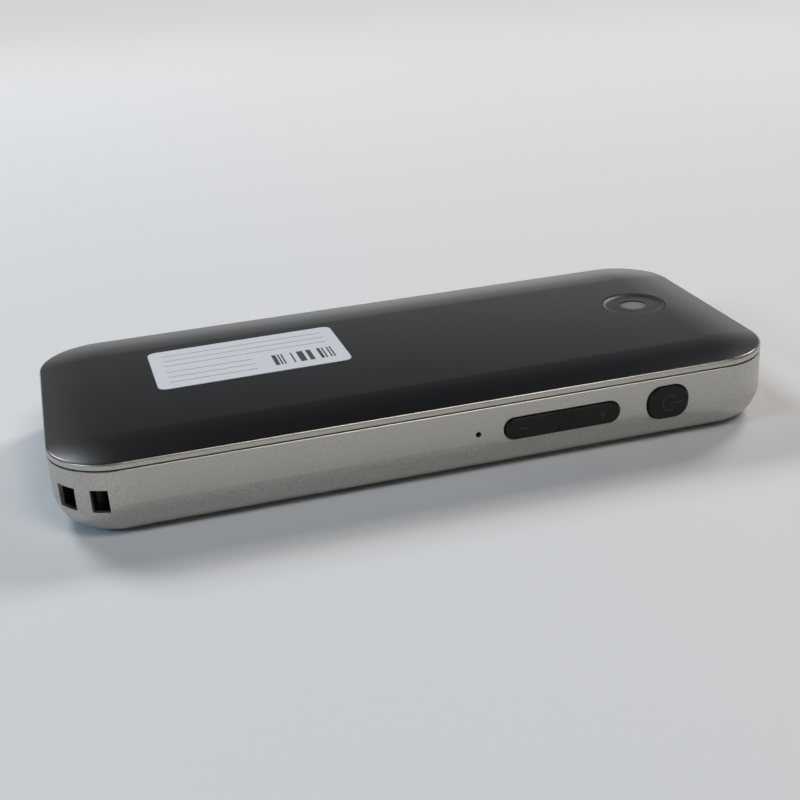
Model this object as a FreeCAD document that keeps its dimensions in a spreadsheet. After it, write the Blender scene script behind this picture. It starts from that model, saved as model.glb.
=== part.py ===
import FreeCAD, Part
import math
import os
import Sketcher
from types import SimpleNamespace

# Handheld translator, lying screen down.
# Millimetres. +X runs along the body towards the lens end, the buttons are on the -Y side,
# and +Z comes out of the back cover. The origin is the middle of the front glass.

vector = FreeCAD.Vector
doc = FreeCAD.newDocument("translator")

# Driving dimensions

dimensions = {
    "overlap": 0.1,
    "overshoot": 1.0,
    "body_length": 128.6,
    "body_width": 57.6,
    "corner_radius": 11.5,
    "body_height": 14.6,
    "crown_edge": 13.85,
    "crown_inset": 10.0,
    "edge_softening": 0.45,
    "seam_gap": 0.25,
    "seam_chamfer": 0.08,
    # frame
    "frame_base": 0.4,
    "frame_top": 12.5,
    "frame_wall": 2.1,
    "front_round": 4.4,
    "front_rise": 6.0,
    "seat_inset": 4.2,
    "ledge_base": 1.25,
    "ledge_top": 2.9,
    "opening_radius": 1.0,
    "boss_radius": 1.7,
    "main_boss_along": 56.0,
    "main_boss_far": 19.5,
    "main_boss_near": -18.5,
    "sub_boss_far_along": -49.5,
    "sub_boss_near_along": -50.0,
    "sub_boss_far": 21.0,
    "sub_boss_near": -12.5,
    "screw_hole_radius": 0.6,
    "screw_hole_depth": 1.45,
    # cover
    "lip_reach": 1.05,
    "lip_clearance": 0.15,
    "lip_wall": 1.0,
    "rim_ceiling": 13.1,
    "main_ceiling": 13.6,
    "ceiling_inset": 9.0,
    # label
    "label_length": 35.5,
    "label_width": 19.0,
    "label_thickness": 0.1,
    "label_radius": 1.6,
    "label_along": -26.5,
    "label_across": 6.45,
    "label_turn": 0.9,
    # glass and display
    "glass_thickness": 1.1,
    "glass_gap": 0.1,
    "glass_rounding": 0.85,
    "gasket_gap": 0.2,
    "opening_length": 94.6,
    "opening_width": 47.2,
    "display_length": 92.0,
    "display_width": 46.4,
    "display_thickness": 1.45,
    "film": 0.15,
    "flex_width": 18.0,
    "flex_run": 8.0,
    "flex_stand": 0.3,
    # chassis
    "chassis_rear_end": -47.5,
    "chassis_front_end": 45.5,
    "chassis_width": 53.0,
    "plate": 0.6,
    "chassis_radius": 1.5,
    "post_radius": 1.6,
    "post_along": 30.0,
    "post_far": 20.5,
    "post_near": -19.0,
    "plate_screw_rear": -44.0,
    "plate_screw_front": 42.0,
    "plate_screw_across": 25.0,
    # boards
    "board_thickness": 0.8,
    "board_radius": 6.5,
    "board_hole_clearance": 0.15,
    "main_board_base": 6.3,
    "main_board_near_x": 27.0,
    "main_board_far_x": 60.6,
    "main_board_low_y": -21.8,
    "board_high_y": 24.6,
    "sub_board_base": 4.9,
    "sub_board_near_x": -43.0,
    "sub_board_far_x": -61.2,
    "sub_board_low_y": -16.0,
    # screws
    "screw_head_radius": 1.2,
    "screw_head_height": 0.55,
    "screw_shank_radius": 0.57,
    "screw_shank_length": 1.95,
    "screw_recess_width": 0.3,
    "screw_recess_length": 1.3,
    "screw_recess_depth": 0.3,
    # rocker
    "button_height": 7.9,
    "slot_clearance": 0.22,
    "button_stand": 0.6,
    "flange_face": -26.2,
    "flange_back": -25.7,
    "nib_end": -25.05,
    "nib_width": 1.2,
    "nib_radius": 0.2,
    "nib_spread": 7.6,
    "flange_radius": 1.5,
    "rib_radius": 0.25,
    "rib_length": 2.6,
    "fulcrum_width": 1.2,
    "fulcrum_gap": 0.03,
    "fulcrum_window_margin": 0.2,
    "rocker_along": 21.6,
    "rocker_slot_length": 21.6,
    "rocker_slot_height": 4.25,
    "rocker_flange_margin": 0.75,
    "button_rounding": 0.35,
    "saddle_radius": 3.8,
    "saddle_depth": 0.55,
    # power button
    "power_along": 41.45,
    "power_slot_length": 8.1,
    "power_slot_height": 6.4,
    "power_slot_radius": 2.9,
    "power_flange_margin": 0.35,
    # switches, their flex and bracket
    "switch_length": 3.6,
    "switch_depth": 1.1,
    "switch_tall": 2.7,
    "switch_front": -24.4,
    "plunger_front": -25.0,
    "plunger_length": 1.1,
    "plunger_wide": 1.6,
    "plunger_tall": 1.2,
    "plunger_gap": 0.1,
    "plunger_pocket": 0.95,
    "key_flex_start": 3.5,
    "key_flex_end": 47.5,
    "key_flex_low": 5.2,
    "key_flex_high": 10.6,
    "key_plate": 0.5,
    # microphones
    "mic_along": 6.3,
    "mic_hole_radius": 0.5,
    "mic_length": 3.7,
    "mic_depth": 1.1,
    "mic_tall": 2.9,
    "boot_length": 4.2,
    "boot_tall": 3.3,
    "boot_front": -26.6,
    "boot_radius": 0.6,
    "end_mic_across": -9.0,
    # charging socket and speaker
    "socket_height": 7.3,
    "socket_width": 8.94,
    "socket_tall": 3.16,
    "socket_length": 7.3,
    "socket_wall": 0.3,
    "socket_margin": 0.18,
    "socket_set_back": 0.3,
    "tongue_width": 6.69,
    "tongue_thickness": 0.7,
    "tongue_length": 4.6,
    "tongue_block": 1.6,
    "speaker_hole_radius": 0.65,
    "speaker_hole_pitch": 2.2,
    "speaker_across": 11.5,
    "speaker_length": 8.3,
    "speaker_width": 13.4,
    "speaker_tall": 4.2,
    "speaker_inset": 3.4,
    "mesh_width": 10.9,
    "mesh_tall": 3.0,
    # lanyard loop in the bottom near corner
    "lanyard_low": 5.3,
    "lanyard_tall": 4.0,
    "lanyard_bar": 2.0,
    "lanyard_channel": 2.5,
    "lanyard_block_wall": 1.6,
    "lanyard_block_low": 2.9,
    "lanyard_block_top": 11.1,
    "lanyard_block_start": 192.0,
    "lanyard_block_end": 270.0,
    "lanyard_far_start": 206.0,
    "lanyard_far_end": 226.5,
    "lanyard_near_start": 241.0,
    "lanyard_near_end": 256.0,
    # camera
    "camera_along": 49.95,
    "camera_across": 3.3,
    "camera_seat_radius": 6.3,
    "camera_seat_height": 13.7,
    "camera_bore_radius": 3.85,
    "camera_boss_radius": 7.4,
    "camera_boss_base": 12.9,
    "ring_radius": 6.15,
    "ring_flat": 0.3,
    "ring_bevel": 0.6,
    "ring_bevel_drop": 0.22,
    "ring_dish_width": 1.6,
    "ring_dish_drop": 0.06,
    "ring_top": 14.54,
    "ring_lip_radius": 2.65,
    "ring_lip_top": 14.38,
    "ring_lip_base": 14.24,
    "ring_recess_radius": 3.7,
    "window_radius": 3.6,
    "window_thickness": 0.5,
    "camera_body": 8.5,
    "camera_body_base": 7.1,
    "camera_body_top": 11.5,
    "barrel_radius": 2.9,
    "barrel_top": 13.1,
    "lens_radius": 1.9,
    "lens_depth": 0.7,
    "lens_sink": 0.2,
    "foam_inner": 3.1,
    "foam_outer": 4.1,
    # battery
    "battery_rear": -40.0,
    "battery_front": 24.0,
    "battery_width": 43.0,
    "battery_base": 3.65,
    "battery_thickness": 5.4,
    "battery_radius": 1.2,
    "battery_corner": 2.0,
    "tape_width": 9.0,
    "tape_spread": 15.0,
    "tape_inset": 3.0,
    "plug_set_back": 0.4,
    "plug_length": 4.0,
    "plug_width": 6.0,
    "plug_height": 1.4,
    "plug_across": 9.0,
    "tab_width": 4.0,
    "tab_rise": 0.5,
    # ribbon between the boards
    "ribbon_width": 6.0,
    "ribbon_across": -9.0,
    "ribbon_high": 9.2,
    "ribbon_rise": -41.9,
    "ribbon_fall": 26.2,
    "ribbon_foot": 4.0,
    # chips and shields
    "shield_along": 37.5,
    "shield_across": -6.5,
    "shield_length": 13.0,
    "shield_width": 21.0,
    "shield_height": 1.8,
    "shield_wall": 0.2,
    "chip_side": 10.5,
    "chip_height": 1.1,
    "chip_across": -11.0,
    "memory_width": 7.6,
    "memory_across": -0.8,
    "power_chip_side": 6.0,
    "power_chip_across": 12.0,
    "radio_along": 50.5,
    "radio_across": -9.5,
    "radio_length": 11.0,
    "radio_width": 9.0,
    "radio_height": 1.9,
    "antenna_along": 8.0,
    "antenna_across": -9.0,
    "antenna_length": 44.0,
    "antenna_width": 14.0,
}

sheet = doc.addObject("Spreadsheet::Sheet", "sizes")
for row, (alias, number) in enumerate(dimensions.items(), start=1):
    cell = f"B{row}"
    sheet.set(f"A{row}", alias)
    sheet.set(cell, str(number))
    sheet.setAlias(cell, alias)
doc.recompute()


class Size:
    """A length with its value and the expression that gives it from the sheet."""

    def __init__(self, value, text):
        self.value = value
        self.text = text

    def __add__(self, other):
        other = as_size(other)
        return Size(self.value + other.value, f"({self.text} + {other.text})")

    def __sub__(self, other):
        other = as_size(other)
        return Size(self.value - other.value, f"({self.text} - {other.text})")

    def __mul__(self, other):
        other = as_size(other)
        return Size(self.value * other.value, f"({self.text} * {other.text})")

    def __truediv__(self, other):
        other = as_size(other)
        return Size(self.value / other.value, f"({self.text} / {other.text})")

    def __neg__(self):
        return as_size(0) - self


def as_size(value):
    if isinstance(value, Size):
        return value
    return Size(value, f"({value:g})")


dim = SimpleNamespace(**{alias: Size(number, f"sizes.{alias}") for alias, number in dimensions.items()})


def bind(feature, prop, size):
    feature.setExpression(prop, as_size(size).text)


# Sketches

def new_body(name):
    body = doc.addObject("PartDesign::Body", name)
    body.Label = name
    return body


def new_sketch(body, name, plane, offset=0):
    sketch = body.newObject("Sketcher::SketchObject", f"{body.Name}_{name}")
    origin_plane = [item for item in body.Origin.OriginFeatures if item.Role == f"{plane}_Plane"][0]
    sketch.AttachmentSupport = [(origin_plane, "")]
    sketch.MapMode = "FlatFace"
    bind(sketch, "AttachmentOffset.Base.z", offset)
    return sketch


def constrain(sketch, kind, *items, size=None):
    if size is None:
        return sketch.addConstraint(Sketcher.Constraint(kind, *items))
    index = sketch.addConstraint(Sketcher.Constraint(kind, *items, as_size(size).value))
    bind(sketch, f"Constraints[{index}]", size)
    return index


def place_point(sketch, geometry, point, across, up):
    constrain(sketch, "DistanceX", -1, 1, geometry, point, size=across)
    constrain(sketch, "DistanceY", -1, 1, geometry, point, size=up)


def line(sketch, start, end):
    start = vector(as_size(start[0]).value, as_size(start[1]).value, 0)
    end = vector(as_size(end[0]).value, as_size(end[1]).value, 0)
    return sketch.addGeometry(Part.LineSegment(start, end), False)


def arc(sketch, centre, radius, start_angle, end_angle):
    centre = vector(as_size(centre[0]).value, as_size(centre[1]).value, 0)
    circle = Part.Circle(centre, vector(0, 0, 1), as_size(radius).value)
    return sketch.addGeometry(Part.ArcOfCircle(circle, math.radians(start_angle), math.radians(end_angle)), False)


def draw_circle(sketch, across, up, radius):
    centre = vector(as_size(across).value, as_size(up).value, 0)
    index = sketch.addGeometry(Part.Circle(centre, vector(0, 0, 1), as_size(radius).value), False)
    place_point(sketch, index, 3, across, up)
    constrain(sketch, "Radius", index, size=radius)


def draw_rounded_rectangle(sketch, across, up, wide, tall, radius):
    across, up, wide, tall, radius = [as_size(value) for value in (across, up, wide, tall, radius)]
    left, right = across - wide / 2, across + wide / 2
    low, high = up - tall / 2, up + tall / 2
    bottom = line(sketch, (left + radius, low), (right - radius, low))
    side = line(sketch, (right, low + radius), (right, high - radius))
    top = line(sketch, (right - radius, high), (left + radius, high))
    back = line(sketch, (left, high - radius), (left, low + radius))
    corners = [
        arc(sketch, (right - radius, low + radius), radius, 270, 360),
        arc(sketch, (right - radius, high - radius), radius, 0, 90),
        arc(sketch, (left + radius, high - radius), radius, 90, 180),
        arc(sketch, (left + radius, low + radius), radius, 180, 270),
    ]
    for before, corner, after in zip((bottom, side, top, back), corners, (side, top, back, bottom)):
        constrain(sketch, "Tangent", before, 2, corner, 1)
        constrain(sketch, "Tangent", corner, 2, after, 1)
    for flat in (bottom, top):
        constrain(sketch, "Horizontal", flat)
    for upright in (side, back):
        constrain(sketch, "Vertical", upright)
    for corner in corners[1:]:
        constrain(sketch, "Equal", corners[0], corner)
    constrain(sketch, "Radius", corners[0], size=radius)
    constrain(sketch, "DistanceX", bottom, 1, bottom, 2, size=wide - radius * 2)
    constrain(sketch, "DistanceY", side, 1, side, 2, size=tall - radius * 2)
    place_point(sketch, bottom, 1, left + radius, low)


def draw_pill(sketch, across, up, wide, tall):
    across, up, wide, tall = [as_size(value) for value in (across, up, wide, tall)]
    radius = tall / 2
    left, right = across - wide / 2 + radius, across + wide / 2 - radius
    bottom = line(sketch, (left, up - radius), (right, up - radius))
    right_end = arc(sketch, (right, up), radius, -90, 90)
    top = line(sketch, (right, up + radius), (left, up + radius))
    left_end = arc(sketch, (left, up), radius, 90, 270)
    constrain(sketch, "Tangent", bottom, 2, right_end, 1)
    constrain(sketch, "Tangent", right_end, 2, top, 1)
    constrain(sketch, "Tangent", top, 2, left_end, 1)
    constrain(sketch, "Tangent", left_end, 2, bottom, 1)
    constrain(sketch, "Horizontal", bottom)
    constrain(sketch, "Horizontal", top)
    constrain(sketch, "Radius", right_end, size=radius)
    place_point(sketch, right_end, 3, right, up)
    constrain(sketch, "DistanceX", -1, 1, left_end, 3, size=left)


def draw_polygon(sketch, points):
    lines = [line(sketch, start, end) for start, end in zip(points, points[1:] + points[:1])]
    for index, following in zip(lines, lines[1:] + lines[:1]):
        constrain(sketch, "Coincident", index, 2, following, 1)
    for index, point in zip(lines, points):
        place_point(sketch, index, 1, *point)


# Features

def pad(body, name, sketch, length):
    feature = body.newObject("PartDesign::Pad", f"{body.Name}_{name}")
    feature.Profile = sketch
    bind(feature, "Length", length)
    return feature


def pocket(body, name, sketch, length, away=False):
    before = solid_volume(body)
    feature = body.newObject("PartDesign::Pocket", f"{body.Name}_{name}")
    feature.Profile = sketch
    feature.Reversed = away
    bind(feature, "Length", length)
    if solid_volume(body) >= before - 1e-6:
        raise ValueError(f"{feature.Name} cuts nothing")
    return feature


def loft(body, name, sections):
    feature = body.newObject("PartDesign::AdditiveLoft", f"{body.Name}_{name}")
    feature.Profile = sections[0]
    feature.Sections = sections[1:]
    feature.Ruled = False
    return feature


def solid_volume(body):
    doc.recompute()
    return body.Shape.Volume


def edge_names(shape, test):
    return [f"Edge{number}" for number, edge in enumerate(shape.Edges, start=1) if test(edge)]


def at_height(height):
    level = as_size(height).value
    return lambda edge: all(abs(vertex.Z - level) < 1e-4 for vertex in edge.Vertexes)


def at_depth(depth):
    level = as_size(depth).value
    return lambda edge: all(abs(vertex.Y - level) < 1e-4 for vertex in edge.Vertexes)


def soften(body, kind, name, test, size):
    doc.recompute()
    base = body.Tip
    edges = edge_names(base.Shape, test)
    feature = body.newObject(f"PartDesign::{kind}", f"{body.Name}_{name}")
    feature.Base = (base, edges)
    bind(feature, "Radius" if kind == "Fillet" else "Size", size)
    return feature


def move_to(feature, across=0, along=0, up=0):
    bind(feature, "Placement.Base.x", across)
    bind(feature, "Placement.Base.y", along)
    bind(feature, "Placement.Base.z", up)


def turn(feature, degrees):
    """Turn a feature about its own vertical axis."""
    feature.Placement.Rotation = FreeCAD.Rotation(vector(0, 0, 1), as_size(degrees).value)
    bind(feature, "Placement.Rotation.Angle", degrees)


def box(name, low, high):
    feature = doc.addObject("Part::Box", name)
    for prop, start, end in zip(("Length", "Width", "Height"), low, high):
        bind(feature, prop, as_size(end) - start)
    move_to(feature, *low)
    feature.Label = name
    return feature


def block(name, centre, base, size):
    low = [as_size(centre[0]) - as_size(size[0]) / 2, as_size(centre[1]) - as_size(size[1]) / 2, base]
    high = [low[0] + size[0], low[1] + size[1], as_size(base) + size[2]]
    return box(name, low, high)


def cylinder(name, centre, radius, height):
    feature = doc.addObject("Part::Cylinder", name)
    bind(feature, "Radius", radius)
    bind(feature, "Height", height)
    move_to(feature, *centre)
    feature.Label = name
    return feature


def cut(name, base, tool):
    feature = doc.addObject("Part::Cut", name)
    feature.Base = base
    feature.Tool = tool
    feature.Label = name
    return feature


def fuse(name, pieces):
    feature = doc.addObject("Part::MultiFuse", name)
    feature.Shapes = pieces
    feature.Label = name
    return feature


# Places that several pieces share

half_length = dim.body_length / 2
half_width = dim.body_width / 2
cavity_length = dim.body_length - dim.frame_wall * 2
cavity_width = dim.body_width - dim.frame_wall * 2
cavity_radius = dim.corner_radius - dim.frame_wall
seat_length = dim.body_length - dim.seat_inset * 2
seat_width = dim.body_width - dim.seat_inset * 2
seat_radius = dim.corner_radius - dim.seat_inset
cover_base = dim.frame_top + dim.seam_gap
chassis_top = dim.ledge_top + dim.plate
main_board_top = dim.main_board_base + dim.board_thickness
sub_board_top = dim.sub_board_base + dim.board_thickness
switch_back = dim.switch_front + dim.switch_depth
key_flex_back = switch_back + dim.film
key_bracket_back = key_flex_back + dim.key_plate
speaker_hole_places = [dim.speaker_across + dim.speaker_hole_pitch * step for step in (-2, -1, 0, 1, 2)]

main_board_bosses = [(dim.main_boss_along, dim.main_boss_far), (dim.main_boss_along, dim.main_boss_near)]
sub_board_bosses = [(dim.sub_boss_far_along, dim.sub_boss_far), (dim.sub_boss_near_along, dim.sub_boss_near)]
chassis_posts = [(dim.post_along, dim.post_far), (dim.post_along, dim.post_near)]
chassis_screws = [
    (dim.plate_screw_rear, dim.plate_screw_across),
    (dim.plate_screw_rear, -dim.plate_screw_across),
    (dim.plate_screw_front, dim.plate_screw_across),
    (as_size(0), dim.plate_screw_across),
]


# Frame

def drill(body, name, places, top, radius, depth):
    sketch = new_sketch(body, name, "XY", top)
    for across, up in places:
        draw_circle(sketch, across, up, radius)
    pocket(body, f"{name}_holes", sketch, depth)


def raise_posts(body, name, places, base, radius, height):
    sketch = new_sketch(body, name, "XY", base)
    for across, up in places:
        draw_circle(sketch, across, up, radius)
    pad(body, f"{name}_pads", sketch, height)


def sector_solid(name, inner, outer, start, end, low, tall):
    """A curved block about the corner's centre, between two radii and two angles in degrees."""
    centre = (dim.corner_radius - half_length, dim.corner_radius - half_width)
    whole = cylinder(f"{name}_whole", (*centre, low), outer, tall)
    bind(whole, "Angle", end - start)
    turn(whole, start)
    middle = cylinder(f"{name}_middle", (*centre, low - dim.overshoot), inner, tall + dim.overshoot * 2)
    return cut(name, whole, middle)


def inset_outline(body, name, height, inset):
    sketch = new_sketch(body, name, "XY", height)
    draw_rounded_rectangle(sketch, 0, 0, dim.body_length - inset * 2, dim.body_width - inset * 2,
                           dim.corner_radius - inset)
    return sketch


def front_section(body, step, steps):
    """One outline of the wall's rounding towards the front, which follows a quarter of an ellipse."""
    angle = math.radians(90 * step / steps)
    height = dim.frame_base + dim.front_rise * (1 - math.cos(angle))
    return inset_outline(body, f"round_{step}", height, dim.front_round * (1 - math.sin(angle)))


def make_frame():
    body = new_body("frame_shell")
    steps = 6
    loft(body, "front_curve", [front_section(body, step, steps) for step in range(steps + 1)])
    wall_base = dim.frame_base + dim.front_rise
    outline = inset_outline(body, "outline", wall_base, as_size(0))
    pad(body, "wall", outline, dim.frame_top - wall_base)
    soften(body, "Chamfer", "seam_edge", at_height(dim.frame_top), dim.seam_chamfer)

    seat = new_sketch(body, "seat", "XY", dim.ledge_base)
    draw_rounded_rectangle(seat, 0, 0, seat_length, seat_width, seat_radius)
    pocket(body, "glass_seat", seat, dim.ledge_base)

    cavity = new_sketch(body, "cavity", "XY", dim.frame_top)
    draw_rounded_rectangle(cavity, 0, 0, cavity_length, cavity_width, cavity_radius)
    pocket(body, "inside", cavity, dim.frame_top - dim.ledge_top)

    opening = new_sketch(body, "opening", "XY", dim.ledge_top)
    draw_rounded_rectangle(opening, 0, 0, dim.opening_length, dim.opening_width, dim.opening_radius)
    pocket(body, "display_opening", opening, dim.ledge_top)

    raise_posts(body, "main_bosses", main_board_bosses, dim.ledge_top, dim.boss_radius,
                dim.main_board_base - dim.ledge_top)
    raise_posts(body, "sub_bosses", sub_board_bosses, dim.ledge_top, dim.boss_radius,
                dim.sub_board_base - dim.ledge_top)
    drill(body, "main", main_board_bosses, dim.main_board_base, dim.screw_hole_radius, dim.screw_hole_depth)
    drill(body, "sub", sub_board_bosses, dim.sub_board_base, dim.screw_hole_radius, dim.screw_hole_depth)
    drill(body, "plate", chassis_screws, dim.ledge_top, dim.screw_hole_radius, dim.screw_hole_depth)

    side_depth = dim.frame_wall + dim.overshoot + dim.overlap
    rocker_slot = new_sketch(body, "rocker_slot", "XZ", half_width + dim.overshoot)
    draw_pill(rocker_slot, dim.rocker_along, dim.button_height, dim.rocker_slot_length, dim.rocker_slot_height)
    pocket(body, "rocker_opening", rocker_slot, side_depth)

    power_slot = new_sketch(body, "power_slot", "XZ", half_width + dim.overshoot)
    draw_rounded_rectangle(power_slot, dim.power_along, dim.button_height, dim.power_slot_length,
                           dim.power_slot_height, dim.power_slot_radius)
    pocket(body, "power_opening", power_slot, side_depth)

    mic_hole = new_sketch(body, "mic_hole", "XZ", half_width + dim.overshoot)
    draw_circle(mic_hole, dim.mic_along, dim.button_height, dim.mic_hole_radius)
    pocket(body, "mic_opening", mic_hole, side_depth)

    end_holes = new_sketch(body, "end_holes", "YZ", -half_length - dim.overshoot)
    draw_pill(end_holes, 0, dim.socket_height, dim.socket_width + dim.socket_margin * 2,
              dim.socket_tall + dim.socket_margin * 2)
    draw_circle(end_holes, dim.end_mic_across, dim.socket_height, dim.mic_hole_radius)
    for place in speaker_hole_places:
        draw_circle(end_holes, place, dim.socket_height, dim.speaker_hole_radius)
    pocket(body, "end_openings", end_holes, side_depth, away=True)

    bar_back = dim.corner_radius - dim.lanyard_bar
    channel_back = bar_back - dim.lanyard_channel
    corner_block = sector_solid("lanyard_block", channel_back - dim.lanyard_block_wall,
                                dim.corner_radius - dim.frame_wall / 2, dim.lanyard_block_start,
                                dim.lanyard_block_end, dim.lanyard_block_low,
                                dim.lanyard_block_top - dim.lanyard_block_low)
    channel = sector_solid("lanyard_channel_space", channel_back, bar_back, dim.lanyard_far_start,
                           dim.lanyard_near_end, dim.lanyard_low, dim.lanyard_tall)
    inner, outer = bar_back - dim.overlap, dim.corner_radius + dim.overshoot
    far_window = sector_solid("lanyard_far_window", inner, outer, dim.lanyard_far_start,
                              dim.lanyard_far_end, dim.lanyard_low, dim.lanyard_tall)
    near_window = sector_solid("lanyard_near_window", inner, outer, dim.lanyard_near_start,
                               dim.lanyard_near_end, dim.lanyard_low, dim.lanyard_tall)
    filled = fuse("frame_with_block", [body, corner_block])
    return cut("mid_frame", filled, fuse("lanyard_space", [channel, far_window, near_window]))


# Back cover

def crown_section(body, step, steps):
    """One outline of the crown: the top follows a shallow arc that is level at the crown inset."""
    inset = dim.crown_inset * (step / steps)
    rise = dim.body_height - dim.crown_edge
    remaining = 1 - step / steps
    height = dim.body_height - rise * (remaining * remaining)
    return inset_outline(body, f"crown_{step}", height, inset)


def make_back_cover():
    body = new_body("back_cover")
    rim = inset_outline(body, "rim", cover_base, as_size(0))
    pad(body, "side_wall", rim, dim.crown_edge - cover_base)
    soften(body, "Chamfer", "seam_edge", at_height(cover_base), dim.seam_chamfer)

    steps = 5
    loft(body, "crown", [crown_section(body, step, steps) for step in range(steps + 1)])
    soften(body, "Fillet", "crisp_edge", at_height(dim.crown_edge), dim.edge_softening)

    lip = new_sketch(body, "lip", "XY", cover_base - dim.lip_reach)
    lip_length = cavity_length - dim.lip_clearance * 2
    lip_width = cavity_width - dim.lip_clearance * 2
    lip_radius = cavity_radius - dim.lip_clearance
    draw_rounded_rectangle(lip, 0, 0, lip_length, lip_width, lip_radius)
    pad(body, "locating_lip", lip, dim.lip_reach + dim.overlap)

    hollow = new_sketch(body, "hollow", "XY", dim.rim_ceiling)
    draw_rounded_rectangle(hollow, 0, 0, lip_length - dim.lip_wall * 2, lip_width - dim.lip_wall * 2,
                           lip_radius - dim.lip_wall)
    pocket(body, "inside", hollow, dim.rim_ceiling - cover_base + dim.lip_reach + dim.overshoot)

    ceiling = inset_outline(body, "ceiling", dim.main_ceiling, dim.ceiling_inset)
    pocket(body, "ceiling_relief", ceiling, dim.main_ceiling - dim.rim_ceiling)

    boss = new_sketch(body, "boss", "XY", dim.camera_boss_base)
    draw_circle(boss, dim.camera_along, dim.camera_across, dim.camera_boss_radius)
    pad(body, "camera_boss", boss, dim.main_ceiling - dim.camera_boss_base + dim.overlap)

    seat = new_sketch(body, "camera_seat", "XY", dim.body_height + dim.overshoot)
    draw_circle(seat, dim.camera_along, dim.camera_across, dim.camera_seat_radius)
    pocket(body, "camera_counterbore", seat, dim.body_height + dim.overshoot - dim.camera_seat_height)

    bore = new_sketch(body, "camera_bore", "XY", dim.body_height + dim.overshoot)
    draw_circle(bore, dim.camera_along, dim.camera_across, dim.camera_bore_radius)
    pocket(body, "camera_hole", bore, dim.body_height + dim.overshoot * 2 - dim.camera_boss_base)
    return body


def make_label():
    body = new_body("rating_label")
    outline = new_sketch(body, "outline", "XY")
    draw_rounded_rectangle(outline, 0, 0, dim.label_length, dim.label_width, dim.label_radius)
    pad(body, "sheet", outline, dim.label_thickness)
    turn(body, dim.label_turn)
    move_to(body, dim.label_along, dim.label_across, dim.body_height)
    return body


# Front glass and display

def make_cover_glass():
    body = new_body("cover_glass")
    outline = new_sketch(body, "outline", "XY")
    gap = dim.glass_gap
    draw_rounded_rectangle(outline, 0, 0, seat_length - gap * 2, seat_width - gap * 2, seat_radius - gap)
    pad(body, "plate", outline, dim.glass_thickness)
    soften(body, "Fillet", "rounded_edge", at_height(0), dim.glass_rounding)
    return body


def make_gasket():
    body = new_body("glass_gasket")
    outline = new_sketch(body, "outline", "XY", dim.glass_thickness)
    gap = dim.gasket_gap
    draw_rounded_rectangle(outline, 0, 0, seat_length - gap * 2, seat_width - gap * 2, seat_radius - gap)
    pad(body, "ring", outline, dim.ledge_base - dim.glass_thickness)
    inside = new_sketch(body, "inside", "XY", dim.ledge_base)
    draw_rounded_rectangle(inside, 0, 0, dim.opening_length, dim.opening_width, dim.opening_radius)
    pocket(body, "window", inside, dim.ledge_base - dim.glass_thickness + dim.overlap)
    return body


def make_display():
    block("display_panel", (0, 0), dim.glass_thickness,
          (dim.display_length, dim.display_width, dim.display_thickness))
    panel_back = dim.glass_thickness + dim.display_thickness
    panel_end = dim.display_length / 2
    bend = panel_end + dim.flex_stand
    tail = box("display_tail", (panel_end - dim.flex_run, -dim.flex_width / 2, panel_back),
               (bend, dim.flex_width / 2, panel_back + dim.film))
    riser = box("display_riser", (bend - dim.film, -dim.flex_width / 2, panel_back),
                (bend, dim.flex_width / 2, dim.main_board_base))
    fuse("display_flex", [tail, riser])


# Chassis, boards and what is on them

def make_chassis():
    body = new_body("inner_chassis")
    outline = new_sketch(body, "outline", "XY", dim.ledge_top)
    middle = (dim.chassis_rear_end + dim.chassis_front_end) / 2
    draw_rounded_rectangle(outline, middle, 0, dim.chassis_front_end - dim.chassis_rear_end,
                           dim.chassis_width, dim.chassis_radius)
    pad(body, "plate", outline, dim.plate)
    raise_posts(body, "posts", chassis_posts, dim.ledge_top, dim.post_radius,
                dim.main_board_base - dim.ledge_top)
    drill(body, "screw", chassis_screws, chassis_top, dim.screw_hole_radius, dim.plate + dim.overshoot)
    drill(body, "post", chassis_posts, dim.main_board_base, dim.screw_hole_radius,
          dim.screw_hole_depth + dim.plate)
    return body


def make_board(name, start, end, low, high, base, radius, holes):
    body = new_body(name)
    outline = new_sketch(body, "outline", "XY", base)
    draw_rounded_rectangle(outline, (start + end) / 2, (low + high) / 2, end - start, high - low, radius)
    pad(body, "laminate", outline, dim.board_thickness)
    drill(body, "mounting", holes, base + dim.board_thickness,
          dim.screw_hole_radius + dim.board_hole_clearance, dim.board_thickness + dim.overshoot)
    return body


def make_boards():
    make_board("main_board", dim.main_board_near_x, dim.main_board_far_x, dim.main_board_low_y,
               dim.board_high_y, dim.main_board_base, dim.board_radius, main_board_bosses + chassis_posts)
    make_board("sub_board", dim.sub_board_far_x, dim.sub_board_near_x, dim.sub_board_low_y,
               dim.board_high_y, dim.sub_board_base, dim.board_radius, sub_board_bosses)


def make_chips():
    shell = block("shield_shell", (dim.shield_along, dim.shield_across), main_board_top,
                  (dim.shield_length, dim.shield_width, dim.shield_height))
    space = block("shield_space", (dim.shield_along, dim.shield_across), main_board_top - dim.overshoot,
                  (dim.shield_length - dim.shield_wall * 2, dim.shield_width - dim.shield_wall * 2,
                   dim.shield_height + dim.overshoot - dim.shield_wall))
    cut("shield_can", shell, space)
    block("application_processor", (dim.shield_along, dim.chip_across), main_board_top,
          (dim.chip_side, dim.chip_side, dim.chip_height))
    block("memory_chip", (dim.shield_along, dim.memory_across), main_board_top,
          (dim.chip_side, dim.memory_width, dim.chip_height))
    block("power_chip", (dim.shield_along, dim.power_chip_across), main_board_top,
          (dim.power_chip_side, dim.power_chip_side, dim.chip_height))
    block("radio_module", (dim.radio_along, dim.radio_across), main_board_top,
          (dim.radio_length, dim.radio_width, dim.radio_height))
    block("antenna_flex", (dim.antenna_along, dim.antenna_across), dim.main_ceiling - dim.film,
          (dim.antenna_length, dim.antenna_width, dim.film))


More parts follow.
